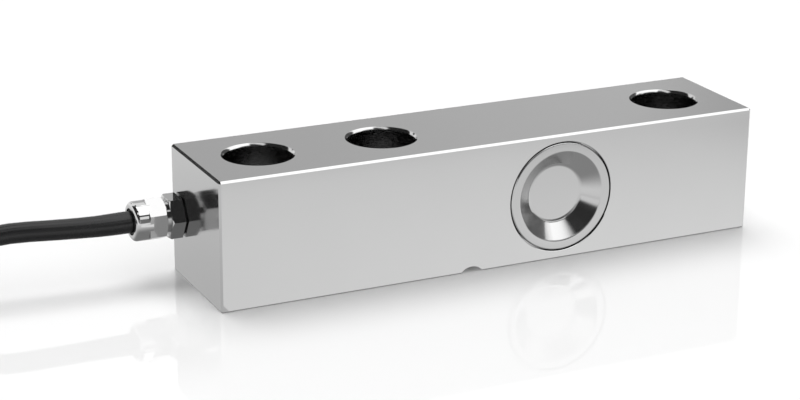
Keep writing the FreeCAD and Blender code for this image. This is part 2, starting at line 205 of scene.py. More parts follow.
class Workpiece:
    """A mesh on the bench: a primitive that is shaped with Blender's own operators.

    Attributes:
        obj: the mesh object, which stays at the origin with its place in its mesh.
    """

    def __init__(self, name: str, primitive: Callable[..., Any], **settings: Any) -> None:
        """Adds a primitive with nothing else selected.

        Args:
            name: the object's name.
            primitive: Blender's operator that adds it.
            settings: that operator's own settings.
        """
        bpy.ops.object.select_all(action="DESELECT")
        primitive(**settings)
        self.obj = bpy.context.active_object
        self.obj.name = name
        bpy.ops.object.transform_apply(location=True, rotation=True, scale=True)

    @classmethod
    def turned(
        cls, name: str, start: Vector, axis: Vector, profile: Sequence[tuple[float, float]], sides: int = 96
    ) -> "Workpiece":
        """Turns a solid as on a lathe: a disc, extruded and resized from station to station.

        Args:
            name: the object's name.
            start: the point on the axis that the stations count from, in millimetres.
            axis: the direction of the axis.
            profile: (distance along the axis, radius) of each station, in millimetres.
            sides: the number of sides of the round.

        Returns:
            The closed solid.
        """
        (along, radius), *rest = profile
        piece = cls(
            name,
            bpy.ops.mesh.primitive_circle_add,
            vertices=sides,
            radius=radius * MM,
            fill_type="NGON",
            location=place(start + axis * along),
            rotation=turn_to(axis),
        )
        piece.pick(Pick.FACE, lambda middle, facing: True)
        for station, new_radius in rest:
            step = place(axis * (station - along))
            bpy.ops.mesh.extrude_region_move(TRANSFORM_OT_translate={"value": step})
            share = new_radius / radius
            centre = place(start + axis * station)
            bpy.ops.transform.resize(value=(share,) * 3, center_override=centre)
            along, radius = station, new_radius
        bpy.ops.mesh.select_all(action="SELECT")
        bpy.ops.mesh.normals_make_consistent(inside=False)
        piece.leave()
        return piece

    @classmethod
    def rod(
        cls, name: str, start: Vector, axis: Vector, ends: tuple[float, float], radius: float, sides: int = 96
    ) -> "Workpiece":
        """A plain round rod between two distances along an axis."""
        return cls.turned(name, start, axis, [(end, radius) for end in ends], sides)

    @classmethod
    def block(cls, name: str, middle: Vector, size: Iterable[float]) -> "Workpiece":
        """A block of the given size about its middle."""
        add = bpy.ops.mesh.primitive_cube_add
        return cls(name, add, size=1, location=place(middle), scale=place(size))

    def copied(self, name: str, move: Matrix) -> "Workpiece":
        """Copies the piece with a mesh of its own.

        Args:
            name: the copy's name.
            move: the turn or move that takes the copy to its place, in metres.

        Returns:
            The copy.
        """

        def duplicate() -> None:
            """Duplicates the piece with nothing else selected."""
            select_only(self.obj)
            bpy.ops.object.duplicate(linked=False)

        copy = Workpiece(name, duplicate)
        copy.obj.data.transform(move)
        return copy

    def pick(self, kind: Pick, wanted: Test) -> None:
        """Enters edit mode with only the wanted elements selected.

        Args:
            kind: whether edges or faces are picked.
            wanted: a test of an element's middle and of the way that it faces.
        """
        select_only(self.obj)
        bpy.ops.object.mode_set(mode="EDIT")
        bpy.ops.mesh.select_mode(type=kind.value)
        bpy.ops.mesh.select_all(action="DESELECT")
        mesh = bmesh.from_edit_mesh(self.obj.data)
        if kind is Pick.FACE:
            found = [face for face in mesh.faces if wanted(face.calc_center_median(), face.normal)]
        else:
            found = []
            for edge in mesh.edges:
                facing = sum((face.normal for face in edge.link_faces), Vector())
                if wanted((edge.verts[0].co + edge.verts[1].co) / 2, facing):
                    found.append(edge)
        for element in found:
            element.select_set(True)
        mesh.select_flush_mode()
        bmesh.update_edit_mesh(self.obj.data)

    def leave(self) -> None:
        """Goes back to object mode."""
        bpy.ops.object.mode_set(mode="OBJECT")

    def bevel(self, wanted: Test, width: float, segments: int = 1) -> None:
        """Bevels the wanted edges.

        Args:
            wanted: a test of an edge's middle and of the way that it faces.
            width: how far the bevel reaches on each side, in millimetres.
            segments: 1 for a chamfer, more for a round.
        """
        self.pick(Pick.EDGE, wanted)
        bpy.ops.mesh.bevel(offset=width * MM, segments=segments, affect="EDGES")
        self.leave()

    def combine(self, tool: "Workpiece", joining: Joining) -> None:
        """Cuts, trims or welds this piece with another, which is used up."""
        self.modify("BOOLEAN", operation=joining.value, solver="EXACT", object=tool.obj)
        bpy.data.objects.remove(tool.obj)

    def modify(self, kind: str, **settings: Any) -> None:
        """Adds a modifier and applies it.

        Args:
            kind: the modifier's Blender type.
            settings: the modifier's own options by name.
        """
        select_only(self.obj)
        modifier = self.obj.modifiers.new(kind.lower(), kind)
        for name, value in settings.items():
            setattr(modifier, name, value)
        bpy.ops.object.modifier_apply(modifier=modifier.name)

    def dress(self, slot: str, nodes: Sequence[str], sharp_from: float = 30.0) -> None:
        """Finishes the piece and puts it on the part in place of its CAD nodes.

        Args:
            slot: the record's material slot.
            nodes: the CAD nodes that the piece stands for.
            sharp_from: edges that turn by more than this many degrees stay sharp.
        """
        select_only(self.obj)
        bpy.ops.object.shade_smooth_by_angle(angle=math.radians(sharp_from))
        # Large faces keep their own normals, so that only the small rounds between them shade as round
        self.modify("WEIGHTED_NORMAL", keep_sharp=True)
        put_on(self.obj, slot, nodes)


def put_on(obj: Object, slot: str, nodes: Sequence[str]) -> None:
    """Gives a piece its finish and lets it ride on the part.

    Args:
        obj: the finished piece.
        slot: the record's material slot.
        nodes: the CAD nodes that it stands for.
    """
    obj.data.materials.clear()
    obj.data.materials.append(FINISHES[slot].material())
    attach(obj, BODY)
    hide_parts(*nodes)
    LOG.info("%s in %s stands for %s", obj.name, slot, ", ".join(nodes))


def on_ring(centre: Vector, axis: Vector, along: float, radius: float, slack: float = 0.05) -> Test:
    """A test for the edges or faces of one ring of a turned piece.

    Args:
        centre: the point on the axis that distances count from, in millimetres.
        axis: the direction of the axis.
        along: the ring's distance along the axis, in millimetres.
        radius: the ring's radius, in millimetres.
        slack: how far off the ring an element may lie, in millimetres.

    Returns:
        The test.
    """

    def wanted(middle: Vector, facing: Vector) -> bool:
        """Tells whether an element lies on the ring.

        Args:
            middle: the element's middle.
            facing: the way that it faces, which does not count here.

        Returns:
            Whether it does.
        """
        offset = middle / MM - centre
        height = offset.dot(axis)
        reach = (offset - axis * height).length
        return abs(height - along) < slack and abs(reach - radius) < slack

    return wanted


@dataclass(frozen=True)
class Finish(ABC):
    """A finish: a fine grain in its gloss and bump, and faint clouds in its shade.

    Attributes:
        title: the material's common name and how it was made.
        colour: what it gives back of white light.
        roughness: how far reflections spread.
        grain_mm: size of the grain.
        grain_depth: strength of the grain's bump.
        kind: what sets this kind of material apart in the shader.
        cloud_mm: size of the clouds.
        cloud_detail: how far the clouds break up.
        cloud_share: how much the clouds darken the shade.
        bump_mm: height of the grain.
        swing: how far the roughness swings about its mean.
        swings_with_grain: whether it swings with the grain or with the clouds.
    """

    title: str
    colour: str
    roughness: float
    grain_mm: float = 0.4
    grain_depth: float = 0.15

    kind: ClassVar[dict[str, float]] = {"IOR": 1.5}
    cloud_mm: ClassVar[float] = 12.0
    cloud_detail: ClassVar[float] = 3.0
    cloud_share: ClassVar[float] = 0.25
    bump_mm: ClassVar[float] = 0.05
    swing: ClassVar[float] = 0.2
    swings_with_grain: ClassVar[bool] = False

    def material(self) -> Material:
        """Gives back the material, built the first time that it is asked for."""
        return bpy.data.materials.get(self.title) or self.mix()

    def mix(self) -> Material:
        """Builds the material.

        Returns:
            The material.
        """
        material, tree = new_material(self.title)
        spot = add_node(tree, "TexCoord").outputs["Object"]
        grain = self.grain(tree, spot)
        size = 1 / (self.cloud_mm * MM)
        cloud = add_node(tree, "TexNoise", {"Vector": spot, "Scale": size, "Detail": self.cloud_detail})
        colours = {"Factor": self.cloud_share, 6: linear(self.colour), 7: cloud}
        shade = add_node(tree, "Mix", colours, data_type="RGBA", blend_type="MULTIPLY")
        swings = {
            "Value": grain if self.swings_with_grain else cloud,
            "To Min": self.roughness * (1 - self.swing),
            "To Max": self.roughness * (1 + self.swing),
        }
        gloss = {
            "Base Color": shade.outputs[2],
            "Roughness": add_node(tree, "MapRange", swings),
            "Normal": add_node(
                tree, "Bump", {"Strength": self.grain_depth, "Distance": self.bump_mm * MM, "Height": grain}
            ),
        }
        shader = add_node(tree, "BsdfPrincipled", gloss | self.kind)
        add_node(tree, "OutputMaterial", {"Surface": shader})
        return material

    @abstractmethod
    def grain(self, tree: Tree, spot: Socket) -> Node:
        """Draws the grain.

        Args:
            tree: the material's node tree.
            spot: the place on the object.

        Returns:
            The node that gives the grain's height.
        """


@dataclass(frozen=True)
class BrightMetal(Finish):
    """Bright metal over the fine lines of the tool that cut it.

    The grain is the spacing of the lines. The real ones are about a tenth of it and would
    not show, so they are drawn this coarse.

    Attributes:
        lines: the way that the tool's lines run.
        stretch: how much longer than wide the lines along the bar are.
    """

    grain_mm: float = 0.3
    grain_depth: float = 0.04
    lines: ToolLines = ToolLines.ALONG_BAR

    kind: ClassVar[dict[str, float]] = {"Metallic": 1.0}
    cloud_mm: ClassVar[float] = 25.0
    cloud_detail: ClassVar[float] = 2.0
    cloud_share: ClassVar[float] = 0.04
    bump_mm: ClassVar[float] = 0.01
    swing: ClassVar[float] = 0.15
    swings_with_grain: ClassVar[bool] = True
    stretch: ClassVar[float] = 100.0

    def grain(self, tree: Tree, spot: Socket) -> Node:
        """Draws the tool's lines.

        Args:
            tree: the material's node tree.
            spot: the place on the object.

        Returns:
            The node that gives the lines' height.
        """
        pitch = 1 / (self.grain_mm * MM)
        centre, keep = {
            ToolLines.ALONG_BAR: (Vector(), (pitch / self.stretch, pitch, pitch)),
            ToolLines.ROUND_POCKET: (Vector((POCKET_X, 0, POCKET_Z)), (pitch, 0, pitch)),
            ToolLines.ROUND_GLAND: (Vector((0, GLAND_Y, GLAND_Z)), (0, pitch, pitch)),
        }[self.lines]
        middle = -place(centre) * pitch
        drawn = add_node(tree, "Mapping", {"Vector": spot, "Location": middle, "Scale": keep})
        lines = {"Scale": 1.0, "Detail": 3.0, "Roughness": 0.6}
        if self.lines is ToolLines.ALONG_BAR:
            return add_node(tree, "TexNoise", {"Vector": drawn} | lines)
        radius = add_node(tree, "VectorMath", {0: drawn}, operation="LENGTH").outputs["Value"]
        return add_node(tree, "TexNoise", {"W": radius} | lines, noise_dimensions="1D")


@dataclass(frozen=True)
class Moulding(Finish):
    """Moulded or extruded plastic, rubber or laminate, with a fine grain from the mould."""

    def grain(self, tree: Tree, spot: Socket) -> Node:
        """Draws the mould's grain, from the place on the object, and gives back its height's node."""
        return add_node(tree, "TexNoise", {"Vector": spot, "Scale": 1 / (self.grain_mm * MM), "Detail": 2.0})


FINISHES: dict[str, Finish] = {
    # Ground flat, then plated: soft mirror images, drawn out along the bar
    "beam_plating": BrightMetal("nickel plate on ground steel", "#cecece", 0.12),
    # Faced on a lathe: rings of fine lines, a little greyer than the bar
    "cover_steel": BrightMetal("turned stainless steel", "#c4c4c4", 0.12, lines=ToolLines.ROUND_POCKET),
    # Turned from bar and bright plated: the sharpest mirror on the part
    "gland_plating": BrightMetal(
        "bright nickel plate on turned brass", "#d6d6d6", 0.07, grain_depth=0.03, lines=ToolLines.ROUND_GLAND
    ),
    # Dipped in solder: pale, a little yellow, dull
    "tinned_copper": BrightMetal("dip-tinned copper strand", "#d2cfc8", 0.25, grain_mm=0.15, grain_depth=0.1),
    # Matt black from the mould
    "seal_rubber": Moulding("moulded black rubber", "#1b1b1b", 0.6),
    # Drawn through a die: smooth, with a broad soft highlight
    "cable_jacket": Moulding("extruded black PVC", "#1b1b1c", 0.27, grain_mm=0.5, grain_depth=0.1),
    # Harder than the jacket, with a satin skin from the mould
    "tie_nylon": Moulding("moulded black nylon", "#1d1d1e", 0.35),
    # Thin coloured skins drawn over wire, half glossy
    "red_insulation": Moulding("extruded red PVC", "#b3141a", 0.4),
    "black_insulation": Moulding("extruded black PVC skin", "#1c1c1d", 0.4),
    "green_insulation": Moulding("extruded green PVC", "#1f7a3a", 0.4),
    "white_insulation": Moulding("extruded white PVC", "#e2e1dc", 0.4),
    "shield_sleeving": Moulding("extruded yellow sleeving", "#d3b732", 0.4),
    # Amber film over etched foil, varnished
    "gauge_film": Moulding("varnished polyimide film", "#b06a1c", 0.25),
    # Pressed sheet with a resin skin
    "terminal_laminate": Moulding("pressed phenolic laminate", "#92754a", 0.3),
    "board_laminate": Moulding("pressed green glass laminate", "#1c6a3f", 0.3),
    # Fired hard and sealed: near black, half glossy
    "resistor_body": Moulding("fired black ceramic chip", "#26262a", 0.3),
}


@dataclass
class PlatedBar:
    """The machined bar: broken edges, bolt holes, gauge pockets, relief groove and wiring bore."""

    edge_chamfer: float = 0.6
    underside_chamfer: float = 0.3
    hole_xs: tuple[float, ...] = (-19.05, 19.05, 114.3)
    hole_radius: float = 10.0
    mouth_width: float = 0.5
    mouth_depth: float = 0.87
    mouth_round: float = 0.12
    groove_x: float = 39.35
    groove_radius: float = 4.7
    groove_depth: float = 1.8
    pocket_radius: float = 14.3
    web: float = 7.0
    seat_radius: float = 16.75
    seat_depth: float = 3.61
    seat_round: float = 0.3
    thread_radius: float = 5.05
    thread_depth: float = 7.5
    wire_radius: float = 2.0
    link_x: float = 80.55
    link_radius: float = 1.3
    clear: float = 1.0
    sharp_from: float = 25.0

    def __post_init__(self) -> None:
        """Reads the bar's outer size from the frame."""
        self.low, self.high = (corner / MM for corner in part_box("beam_body"))
        self.middle = (self.low + self.high) / 2

    def build(self) -> None:
        """Models the bar and dresses it."""
        bar = Workpiece.block("plated_bar", self.middle, self.high - self.low)
        waist = self.middle.z / 2 * MM
        bar.bevel(lambda point, facing: point.z > waist, self.edge_chamfer)
        floor = (self.low.z + TOUCH) * MM
        bar.bevel(lambda point, facing: point.z < floor and facing.z < 0, self.underside_chamfer)
        for x in self.hole_xs:
            bar.combine(self.bolt_drill(x), Joining.CUT)
            rim = on_ring(Vector((x, 0, 0)), Z_AXIS, self.high.z, self.hole_radius + self.mouth_width)
            bar.bevel(rim, self.mouth_round, segments=2)
        centre = Vector((POCKET_X, 0, self.middle.z))
        for side in (-1, 1):
            bar.combine(self.pocket_drill(centre, Y_AXIS * side), Joining.CUT)
            rim = on_ring(centre, Y_AXIS * side, self.high.y, self.seat_radius)
            bar.bevel(rim, self.seat_round, segments=3)
        for start, axis, radius, length in self.bores():
            bar.combine(Workpiece.rod("bore_tool", start, axis, (0, length), radius, sides=64), Joining.CUT)
        bar.dress("beam_plating", ["beam_body"], self.sharp_from)

    def bolt_drill(self, x: float) -> Workpiece:
        """Makes the tool that cuts one bolt hole with its chamfered mouth.

        Args:
            x: where the hole lies along the bar.

        Returns:
            The tool.
        """
        top = self.high.z
        mouth = self.hole_radius + self.mouth_width
        profile = [
            (self.low.z - self.clear, self.hole_radius),
            (top - self.mouth_depth, self.hole_radius),
            (top, mouth),
            (top + self.clear, mouth),
        ]
        return Workpiece.turned("bolt_drill", Vector((x, 0, 0)), Z_AXIS, profile, sides=128)

    def pocket_drill(self, centre: Vector, axis: Vector) -> Workpiece:
        """Makes the tool that cuts one gauge pocket and the seat of its cover.

        Args:
            centre: the point on the pocket's axis in the middle of the bar.
            axis: the way that the pocket opens.

        Returns:
            The tool.
        """
        face = self.high.y
        profile = [
            (self.web / 2, self.pocket_radius),
            (face - self.seat_depth, self.pocket_radius),
            (face - self.seat_depth, self.seat_radius),
            (face + self.clear, self.seat_radius),
        ]
        return Workpiece.turned("pocket_drill", centre, axis, profile, sides=144)

    def bores(self) -> list[tuple[Vector, Vector, float, float]]:
        """Lists the groove, the gland's bore, the wiring bore and the hole through the web.

        Returns:
            The start, axis, radius and length of each.
        """
        groove_z = self.low.z + self.groove_depth - self.groove_radius
        groove = Vector((self.groove_x, self.low.y - self.clear, groove_z))
        width = self.high.y - self.low.y + 2 * self.clear
        gland = Vector((self.low.x - self.clear, GLAND_Y, GLAND_Z))
        link = Vector((self.link_x, -self.web, self.middle.z))
        return [
            (groove, Y_AXIS, self.groove_radius, width),
            (gland, X_AXIS, self.thread_radius, self.thread_depth + self.clear),
            (gland, X_AXIS, self.wire_radius, POCKET_X - gland.x),
            (link, Y_AXIS, self.link_radius, 2 * self.web),
        ]


@dataclass
class PocketCovers:
    """The two dished discs that close the gauge pockets."""

    radius: float = 16.45
    rim: float = 3.61
    boss_radius: float = 9.9
    thickness: float = 4.6
    dish_radius: float = 13.7
    dish_floor_radius: float = 8.65
    dish_depth: float = 4.0
    seam_round: float = 0.5
    rim_round: float = 0.3
    floor_round: float = 0.7

    def build(self) -> None:
        """Models the front cover, copies it for the rear and dresses both."""
        low, high = (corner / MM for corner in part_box("front_cover"))
        centre = Vector((POCKET_X, 0, (low.z + high.z) / 2))
        front = self.disc(centre, -low.y)
        home = Matrix.Translation(place(centre))
        rear = front.copied("rear_dished_cover", home @ Matrix.Rotation(math.pi, 4, "Z") @ home.inverted())
        front.dress("cover_steel", ["front_cover"])
        rear.dress("cover_steel", ["rear_cover"])

    def disc(self, centre: Vector, face: float) -> Workpiece:
        """Turns the front cover.

        Args:
            centre: the point on its axis in the middle of the bar.
            face: how far its outer face lies from the middle of the bar.

        Returns:
            The cover.
        """
        axis = -Y_AXIS
        dish_floor = face - self.dish_depth
        profile = [
            (face - self.thickness, self.boss_radius),
            (face - self.rim, self.boss_radius),
            (face - self.rim, self.radius),
            (face, self.radius),
            (face, self.dish_radius),
            (dish_floor, self.dish_floor_radius),
        ]
        cover = Workpiece.turned("front_dished_cover", centre, axis, profile, sides=144)
        cover.bevel(on_ring(centre, axis, face, self.radius), self.seam_round, segments=3)
        cover.bevel(on_ring(centre, axis, face, self.dish_radius), self.rim_round, segments=3)
        cover.bevel(on_ring(centre, axis, dish_floor, self.dish_floor_radius), self.floor_round, segments=4)
        return cover


@dataclass
class CableGland:
    """The cable gland: sealing ring, hexagon body with its spigot, compression nut and rubber bush."""

    end_x: float = -38.1
    gasket_thickness: float = 0.4
    gasket_radius: float = 5.45
    body_flats: float = 11.5
    body_length: float = 4.0
    body_roll: float = math.radians(30)
    spigot_radius: float = 4.5
    spigot_length: float = 6.0
    stem_radius: float = 5.0
    stem_length: float = 7.0
    nut_start: float = 5.4
    nut_flats: float = 11.3
    nut_hex_length: float = 5.3
    nut_roll: float = math.radians(-6)
    collar_radius: float = 5.75
    collar_length: float = 4.1
    collar_round: float = 1.3
    mouth_radius: float = 3.9
    mouth_depth: float = 2.6
    bore_radius: float = 3.1
    seal_start: float = 5.6
    seal_step: float = 10.6
    seal_radius: float = 3.8
    seal_inset: float = 0.25
    seal_round: float = 0.5
    jacket_radius: float = 2.9
    fit: float = 0.05
    overlap: float = 1.0
    drill_length: float = 40.0
    face_step: float = 0.05
    trim_slope: float = math.radians(30)
    edge_round: float = 0.12
    edge_angle: float = math.radians(25)

    def __post_init__(self) -> None:
        """Sets the axis that runs out of the bar's end, and where the nut's collar starts and ends on it."""
        self.origin = Vector((self.end_x, GLAND_Y, GLAND_Z))
        self.out = -X_AXIS
        self.collar_start = self.nut_start + self.nut_hex_length
        self.collar_end = self.collar_start + self.collar_length

    def build(self) -> None:
        """Models the gland's pieces and dresses them."""
        self.gasket()
        self.body()
        self.nut()
        self.seal()

    def along(self, distance: float) -> Vector:
        """The point on the axis at a distance out from the bar's end."""
        return self.origin + self.out * distance

    def rod(self, name: str, start: float, end: float, radius: float) -> Workpiece:
        """A round rod on the axis between two distances out from the bar's end."""
        return Workpiece.rod(name, self.origin, self.out, (start, end), radius)

    def ring(self, distance: float, radius: float) -> Test:
        """A test for the ring of a piece at a distance out from the bar's end."""
        return on_ring(self.origin, self.out, distance, radius)

    def drill(self, piece: Workpiece, start: float, radius: float, end: float | None = None) -> None:
        """Bores a piece along the axis, out to its end or to a given distance."""
        tool = self.rod("gland_drill", start, start + self.drill_length if end is None else end, radius)
        piece.combine(tool, Joining.CUT)

    def gasket(self) -> None:
        """The sealing ring, bulged where the body presses on it."""
        ring = self.rod("sealing_ring", 0, self.gasket_thickness, self.gasket_radius)
        for height in (0, self.gasket_thickness):
            ring.bevel(self.ring(height, self.gasket_radius), self.gasket_thickness / 3, segments=3)
        self.drill(ring, -self.overlap, self.stem_radius)
        ring.dress("seal_rubber", ["gland_gasket"])

    def hexagon(
        self, name: str, start: float, length: float, flats: float, roll: float, outward: bool
    ) -> Workpiece:
        """Models a hexagon and trims its corners at one end, as a turned blank has them.

        Args:
            name: the piece's name.
            start: where it starts, out from the bar's end.
            length: its length.
            flats: its size across flats.
            roll: how far it is turned about the axis, in radians.
            outward: whether the trimmed end is the outer one.

        Returns:
            The hexagon.
        """
        radius = flats / 2 / math.cos(math.pi / 6)
        hexagon = Workpiece(
            name,
            bpy.ops.mesh.primitive_cylinder_add,
            vertices=6,
            radius=radius * MM,
            depth=length * MM,
            location=place(self.along(start) + self.out * length / 2),
            rotation=turn_to(self.out, roll),
        )
        corner = radius + self.face_step
        small = flats / 2 - self.face_step
        rise = (corner - small) * math.tan(self.trim_slope)
        if outward:
            profile = [(-self.overlap, corner), (length - rise, corner), (length, small)]
        else:
            profile = [(0, small), (rise, corner), (length + self.overlap, corner)]
        blank = Workpiece.turned("blank", self.along(start), self.out, profile, sides=128)
        hexagon.combine(blank, Joining.TRIM)
        return hexagon

    def body(self) -> None:
        """The hexagon body, its stem in the bar and its spigot under the nut."""
        start = self.gasket_thickness
        end = start + self.body_length
        body = self.hexagon(
            "gland_hexagon", start, self.body_length, self.body_flats, self.body_roll, outward=True
        )
        stem = self.rod("stem", -self.stem_length, start + self.overlap, self.stem_radius)
        body.combine(stem, Joining.WELD)
        spigot = self.rod("spigot", end - self.overlap, end + self.spigot_length, self.spigot_radius)
        body.combine(spigot, Joining.WELD)
        self.drill(body, -self.stem_length - self.overlap, self.bore_radius)
        self.break_edges(body)
        body.dress("gland_plating", ["gland_body"])

    def nut(self) -> None:
        """The compression nut: a hexagon and a round collar with a rounded end."""
        start, step, end = self.nut_start, self.collar_start, self.collar_end
        nut = self.hexagon(
            "compression_nut", start, self.nut_hex_length, self.nut_flats, self.nut_roll, outward=False
        )
        collar = self.rod("collar", step - self.overlap, end, self.collar_radius)
        collar.bevel(self.ring(end, self.collar_radius), self.collar_round, segments=8)
        nut.combine(collar, Joining.WELD)
        self.drill(nut, step + self.overlap, self.bore_radius)
        self.drill(nut, end - self.mouth_depth, self.mouth_radius)
        self.drill(nut, start - self.overlap, self.spigot_radius + self.fit, step)
        self.break_edges(nut)
        nut.dress("gland_plating", ["gland_nut"])

    def seal(self) -> None:
        """The rubber bush that the nut squeezes on the cable, with its lip in the nut's mouth."""
        end = self.collar_end - self.seal_inset
        foot = self.collar_end - self.mouth_depth
        neck, lip = self.bore_radius - self.fit, self.mouth_radius - self.fit
        profile = [
            (self.seal_start, self.seal_radius),
            (self.seal_step, self.seal_radius),
            (self.seal_step, neck),
            (foot, neck),
            (foot, lip),
            (end, lip),
        ]
        seal = Workpiece.turned("seal_bush", self.origin, self.out, profile)
        seal.bevel(self.ring(end, lip), self.seal_round, segments=4)
        self.drill(seal, self.seal_start - self.overlap, self.jacket_radius)
        seal.dress("seal_rubber", ["gland_seal"])

    def break_edges(self, piece: Workpiece) -> None:
        """Rounds a piece's sharp edges a little, as plating and tumbling leave them.

        Args:
            piece: the piece.
        """
        piece.modify(
            "BEVEL",
            width=self.edge_round * MM,
            segments=2,
            limit_method="ANGLE",
            angle_limit=self.edge_angle,
            harden_normals=False,
        )


@dataclass
class Cable:
    """The cable: out of the gland, down to the floor and put away in a tied hank.

    The route's points are those of the CAD model's cable, and the hank's turns are
    more points of the same line.
    """

    diameter: float = 5.8
    lead: tuple[Point, ...] = (
        (-34.1, GLAND_Y, GLAND_Z),
        (-53.0, GLAND_Y, GLAND_Z),
        (-66.0, GLAND_Y, GLAND_Z),
        (-98.0, 16.4, 20.2),
        (-138.0, 17.2, 5.6),
        (-175.1, 16.2, 3.9),
    )
    squeeze: float = 1.14
    tail: tuple[Point, Point] = ((-257.7, -23.9, 3.9), (-213.3, -12.0, 3.9))
    exit: Point = (-53.8, GLAND_Y, GLAND_Z)
    length: float = 3100.0
    near_x: float = -175.1
    far_x: float = -262.1
    centre_y: float = -6.5
    fold_radius: float = 17.4
    layers: int = 5
    floor_z: float = 3.9
    arc_points: int = 6

    def build(self) -> Object:
        """Draws the cable as one smooth line of its real length.

        Returns:
            The cable's curve.
        """
        points = [*self.lead, *self.turns(), *self.tail]
        cable = smooth_line("cable", points, self.diameter, roundness=6, steps=6)
        # The nut squeezes the jacket, which swells a little at its mouth
        cable.data.splines[0].points[1].radius = self.squeeze
        put_on(cable, "cable_jacket", ["cable_lead", "cable_hank", "cable_tail"])
        return cable

    def turns(self) -> list[Point]:
        """Winds the hank's turns, up the outer column and down the inner one.

        Returns:
            Their control points.
        """
        points = []
        outer = self.fold_radius + self.diameter
        stack = [(outer, layer) for layer in range(self.layers)]
        stack += [(self.fold_radius, layer) for layer in reversed(range(self.layers))]
        rows = [(radius, self.floor_z + layer * self.diameter) for radius, layer in stack]
        for row, next_row in zip(rows, [*rows[1:], None]):
            points += self.fold(self.far_x, row, row, -1)
            if next_row:
                points += self.fold(self.near_x, row, next_row, 1)
        return points

    def fold(self, x: float, first: Sequence[float], last: Sequence[float], side: int) -> list[Point]:
        """Winds one half-round fold of the hank.

        Args:
            x: the middle of the fold's arc.
            first: its radius and height where it starts.
            last: its radius and height where it ends.
            side: 1 for the fold nearest the bar, -1 for the far one.

        Returns:
            The control points, from the leg that it starts at to the other one.
        """
        (radius, z), (new_radius, new_z) = first, last
        step = math.pi / self.arc_points
        points = []
        for k in range(self.arc_points + 1):
            share = k / self.arc_points
            ease = share * share * (3 - 2 * share)
            reach = (radius + (new_radius - radius) * ease) / math.cos(step / 2) ** 0.5
            turn = math.pi * share
            y = self.centre_y - side * reach * math.cos(turn)
            points.append((x + side * reach * math.sin(turn), y, z + (new_z - z) * ease))
        return points


@dataclass
class CableEnd:
    """The cable's stripped end: five insulated leads with tinned tips.

    Attributes:
        before: the last point but one of the cable's line.
        start: the end of the cable's line.
    """

    before: Point
    start: Point
    lead_diameter: float = 1.1
    pitch: float = 1.8
    length: float = 27.0
    fan: float = 3.0
    tip_length: float = 5.0
    tip_taper: float = 0.4
    tip_diameter: float = 0.7

    def build(self) -> list[Object]:
        """Models the leads and their tips.

        Returns:
            The pieces.
        """
        half = self.pitch / 2
        starts = {
            "red": (half, -half, 2),
            "black": (half, half, 1),
            "shield": (0, 0, 0),
            "green": (-half, half, -1),
            "white": (-half, -half, -2),
        }
        profile = [
            (0, self.tip_diameter / 2),
            (self.tip_length - self.tip_taper, self.tip_diameter / 2),
            (self.tip_length, self.tip_diameter / 4),
        ]
        leads, tips = [], []
        for colour, (y, z, fan) in starts.items():
            points = self.points(y, z, fan * self.fan)
            lead = smooth_line("stripped_lead_" + colour, points, self.lead_diameter, roundness=4, steps=12)
            select_only(lead)
            bpy.ops.object.convert(target="MESH")
            slot = "shield_sleeving" if colour == "shield" else colour + "_insulation"
            put_on(lead, slot, ["end_lead_" + colour])
            leads.append(lead)
            along = (points[-1] - points[-2]).normalized()
            tips.append(Workpiece.turned("tinned_tip", points[-1], along, profile, sides=24))
        select_only(tips[0].obj)
        for tip in tips[1:]:
            tip.obj.select_set(True)
        bpy.ops.object.join()
        tips[0].obj.name = "tinned_tips"
        tips[0].dress("tinned_copper", ["end_lead_tips"])
        return [*leads, tips[0].obj]

    def points(self, y: float, z: float, fan: float) -> list[Vector]:
        """Routes one lead straight out of the jacket and then down to the floor.

        Args:
            y: how far to the side it leaves the jacket.
            z: how far above the jacket's middle it leaves it.
            fan: how far it spreads to the side on its way.

        Returns:
            Its control points.
        """
        start = Vector(self.start)
        along = (start - Vector(self.before)).normalized()
        side = Z_AXIS.cross(along)
        drop = self.lead_diameter / 2 - start.z
        reach = self.length / 3
        local = [(0, y, z), (reach, y, z), (2 * reach, y + fan / 2, drop), (3 * reach, y + fan, drop)]
        return [start + along * a + side * b + Z_AXIS * c for a, b, c in local]


